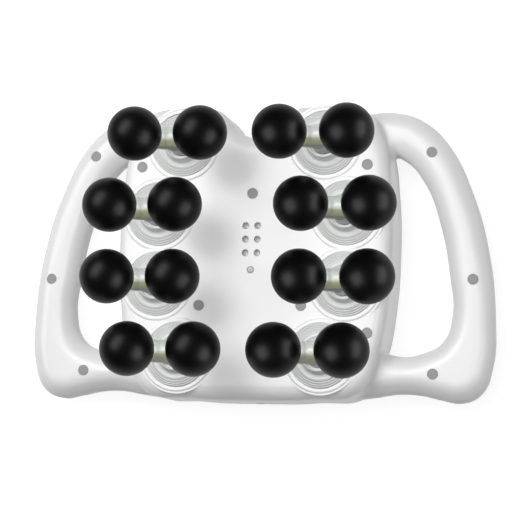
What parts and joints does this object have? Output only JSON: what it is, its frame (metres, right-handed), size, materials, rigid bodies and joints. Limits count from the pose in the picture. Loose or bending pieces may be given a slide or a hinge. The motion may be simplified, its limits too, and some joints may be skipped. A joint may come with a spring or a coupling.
{
  "type": "percussion massager",
  "caption": "Hand-held percussion massager with a D-shaped handle on each side and twin-ball heads on clear T-arms that stroke in and out.",
  "frame": {"origin": "centre of the footprint at the flat rear face, on which it lies", "axes": "+Z out of the front face, along the heads' strokes; +Y to the top of the body; +X to the right-hand handle of someone looking at the front"},
  "size_m": [0.3792, 0.235, 0.139],
  "materials": {
    "satin_white": "satin",
    "black_rubber": "matt",
    "clear_plastic": "clear, slightly frosted",
    "boot_rubber": "translucent white",
    "steel": "turned",
    "motor_can": "plated",
    "grey_nylon": "moulded",
    "board_green": "solder mask",
    "cell_wrap": "shrink wrap",
    "dark_panel": "smooth",
    "button_grey": "soft touch",
    "pale_lens": "frosted"
  },
  "bodies": {
    "case": {"front_housing": "satin_white", "rear_housing": "satin_white", "inner_frame": "grey_nylon", "battery_pack": "cell_wrap", "main_board": "board_green", "control_board": "board_green", "control_panel": "dark_panel", "dc_socket": "dark_panel", "indicator_lens": "pale_lens", "motor_l_upper": "motor_can", "piston_boot_l1": "boot_rubber", "piston_boot_l2": "boot_rubber", "motor_l_lower": "motor_can", "piston_boot_l3": "boot_rubber", "piston_boot_l4": "boot_rubber", "motor_r_upper": "motor_can", "piston_boot_r1": "boot_rubber", "piston_boot_r2": "boot_rubber", "motor_r_lower": "motor_can", "piston_boot_r3": "boot_rubber", "piston_boot_r4": "boot_rubber"},
    "crank_l_upper": {"crankshaft_l_upper": "steel"},
    "rod_l1": {"connecting_rod_l1": "grey_nylon"},
    "head_l1": {"head_arm_l1": "clear_plastic", "massage_ball_l1_outer": "black_rubber", "massage_ball_l1_inner": "black_rubber"},
    "rod_l2": {"connecting_rod_l2": "grey_nylon"},
    "head_l2": {"head_arm_l2": "clear_plastic", "massage_ball_l2_outer": "black_rubber", "massage_ball_l2_inner": "black_rubber"},
    "crank_l_lower": {"crankshaft_l_lower": "steel"},
    "rod_l3": {"connecting_rod_l3": "grey_nylon"},
    "head_l3": {"head_arm_l3": "clear_plastic", "massage_ball_l3_outer": "black_rubber", "massage_ball_l3_inner": "black_rubber"},
    "rod_l4": {"connecting_rod_l4": "grey_nylon"},
    "head_l4": {"head_arm_l4": "clear_plastic", "massage_ball_l4_outer": "black_rubber", "massage_ball_l4_inner": "black_rubber"},
    "crank_r_upper": {"crankshaft_r_upper": "steel"},
    "rod_r1": {"connecting_rod_r1": "grey_nylon"},
    "head_r1": {"head_arm_r1": "clear_plastic", "massage_ball_r1_outer": "black_rubber", "massage_ball_r1_inner": "black_rubber"},
    "rod_r2": {"connecting_rod_r2": "grey_nylon"},
    "head_r2": {"head_arm_r2": "clear_plastic", "massage_ball_r2_outer": "black_rubber", "massage_ball_r2_inner": "black_rubber"},
    "crank_r_lower": {"crankshaft_r_lower": "steel"},
    "rod_r3": {"connecting_rod_r3": "grey_nylon"},
    "head_r3": {"head_arm_r3": "clear_plastic", "massage_ball_r3_outer": "black_rubber", "massage_ball_r3_inner": "black_rubber"},
    "rod_r4": {"connecting_rod_r4": "grey_nylon"},
    "head_r4": {"head_arm_r4": "clear_plastic", "massage_ball_r4_outer": "black_rubber", "massage_ball_r4_inner": "black_rubber"},
    "power_button": {"power_button": "button_grey"},
    "mode_button": {"mode_button": "button_grey"},
    "speed_button": {"speed_button": "button_grey"}
  },
  "joints": [
    {"name": "crank_l_upper_turn", "type": "hinge", "parent": "case", "child": "crank_l_upper", "pos_m": [-0.06685, 0.0575, 0.024], "axis": [-0.3106, -0.9505, 0], "range_deg": [-90, 90]},
    {"name": "rod_l1_swing", "type": "hinge", "parent": "crank_l_upper", "child": "rod_l1", "pos_m": [-0.0539, 0.08426, 0.024], "axis": [-0.3106, -0.9505, 0], "range_deg": [-90, 90]},
    {"name": "head_l1_stroke", "type": "slide", "parent": "case", "child": "head_l1", "axis": [0, 0, 1], "range_m": [-0.004, 0.004], "deforming": ["piston_boot_l1"]},
    {"name": "rod_l2_swing", "type": "hinge", "parent": "crank_l_upper", "child": "rod_l2", "pos_m": [-0.0798, 0.03074, 0.024], "axis": [-0.3106, -0.9505, 0], "range_deg": [-90, 90]},
    {"name": "head_l2_stroke", "type": "slide", "parent": "case", "child": "head_l2", "axis": [0, 0, 1], "range_m": [-0.004, 0.004], "deforming": ["piston_boot_l2"]},
    {"name": "crank_l_lower_turn", "type": "hinge", "parent": "case", "child": "crank_l_lower", "pos_m": [-0.06685, -0.0545, 0.024], "axis": [0.3106, -0.9505, 0], "range_deg": [-90, 90]},
    {"name": "rod_l3_swing", "type": "hinge", "parent": "crank_l_lower", "child": "rod_l3", "pos_m": [-0.0722, -0.02526, 0.024], "axis": [0.3106, -0.9505, 0], "range_deg": [-90, 90]},
    {"name": "head_l3_stroke", "type": "slide", "parent": "case", "child": "head_l3", "axis": [0, 0, 1], "range_m": [-0.004, 0.004], "deforming": ["piston_boot_l3"]},
    {"name": "rod_l4_swing", "type": "hinge", "parent": "crank_l_lower", "child": "rod_l4", "pos_m": [-0.0615, -0.08374, 0.024], "axis": [0.3106, -0.9505, 0], "range_deg": [-90, 90]},
    {"name": "head_l4_stroke", "type": "slide", "parent": "case", "child": "head_l4", "axis": [0, 0, 1], "range_m": [-0.004, 0.004], "deforming": ["piston_boot_l4"]},
    {"name": "crank_r_upper_turn", "type": "hinge", "parent": "case", "child": "crank_r_upper", "pos_m": [0.06685, 0.0575, 0.024], "axis": [0.3106, -0.9505, 0], "range_deg": [-90, 90]},
    {"name": "rod_r1_swing", "type": "hinge", "parent": "crank_r_upper", "child": "rod_r1", "pos_m": [0.0615, 0.08674, 0.024], "axis": [0.3106, -0.9505, 0], "range_deg": [-90, 90]},
    {"name": "head_r1_stroke", "type": "slide", "parent": "case", "child": "head_r1", "axis": [0, 0, 1], "range_m": [-0.004, 0.004], "deforming": ["piston_boot_r1"]},
    {"name": "rod_r2_swing", "type": "hinge", "parent": "crank_r_upper", "child": "rod_r2", "pos_m": [0.0722, 0.02826, 0.024], "axis": [0.3106, -0.9505, 0], "range_deg": [-90, 90]},
    {"name": "head_r2_stroke", "type": "slide", "parent": "case", "child": "head_r2", "axis": [0, 0, 1], "range_m": [-0.004, 0.004], "deforming": ["piston_boot_r2"]},
    {"name": "crank_r_lower_turn", "type": "hinge", "parent": "case", "child": "crank_r_lower", "pos_m": [0.06685, -0.0545, 0.024], "axis": [-0.3106, -0.9505, 0], "range_deg": [-90, 90]},
    {"name": "rod_r3_swing", "type": "hinge", "parent": "crank_r_lower", "child": "rod_r3", "pos_m": [0.0798, -0.02774, 0.024], "axis": [-0.3106, -0.9505, 0], "range_deg": [-90, 90]},
    {"name": "head_r3_stroke", "type": "slide", "parent": "case", "child": "head_r3", "axis": [0, 0, 1], "range_m": [-0.004, 0.004], "deforming": ["piston_boot_r3"]},
    {"name": "rod_r4_swing", "type": "hinge", "parent": "crank_r_lower", "child": "rod_r4", "pos_m": [0.0539, -0.08126, 0.024], "axis": [-0.3106, -0.9505, 0], "range_deg": [-90, 90]},
    {"name": "head_r4_stroke", "type": "slide", "parent": "case", "child": "head_r4", "axis": [0, 0, 1], "range_m": [-0.004, 0.004], "deforming": ["piston_boot_r4"]},
    {"name": "power_button_press", "type": "slide", "parent": "case", "child": "power_button", "axis": [0, 0, 1], "range_m": [0, 0.0006], "stiffness_N_per_m": 800, "springref_m": -0.001},
    {"name": "mode_button_press", "type": "slide", "parent": "case", "child": "mode_button", "axis": [0, 0, 1], "range_m": [0, 0.0006], "stiffness_N_per_m": 800, "springref_m": -0.001},
    {"name": "speed_button_press", "type": "slide", "parent": "case", "child": "speed_button", "axis": [0, 0, 1], "range_m": [0, 0.0006], "stiffness_N_per_m": 800, "springref_m": -0.001}
  ],
  "couplings": [
    {"joint": "rod_l1_swing", "follows": "head_l1_stroke", "rad_per_m": -392.7},
    {"joint": "crank_l_upper_turn", "follows": "head_l1_stroke", "rad_per_m": 392.7},
    {"joint": "rod_l2_swing", "follows": "head_l1_stroke", "rad_per_m": -392.7},
    {"joint": "head_l2_stroke", "follows": "head_l1_stroke", "ratio": -1},
    {"joint": "rod_l3_swing", "follows": "head_l3_stroke", "rad_per_m": -392.7},
    {"joint": "crank_l_lower_turn", "follows": "head_l3_stroke", "rad_per_m": 392.7},
    {"joint": "rod_l4_swing", "follows": "head_l3_stroke", "rad_per_m": -392.7},
    {"joint": "head_l4_stroke", "follows": "head_l3_stroke", "ratio": -1},
    {"joint": "rod_r1_swing", "follows": "head_r1_stroke", "rad_per_m": -392.7},
    {"joint": "crank_r_upper_turn", "follows": "head_r1_stroke", "rad_per_m": 392.7},
    {"joint": "rod_r2_swing", "follows": "head_r1_stroke", "rad_per_m": -392.7},
    {"joint": "head_r2_stroke", "follows": "head_r1_stroke", "ratio": -1},
    {"joint": "rod_r3_swing", "follows": "head_r3_stroke", "rad_per_m": -392.7},
    {"joint": "crank_r_lower_turn", "follows": "head_r3_stroke", "rad_per_m": 392.7},
    {"joint": "rod_r4_swing", "follows": "head_r3_stroke", "rad_per_m": -392.7},
    {"joint": "head_r4_stroke", "follows": "head_r3_stroke", "ratio": -1}
  ]
}
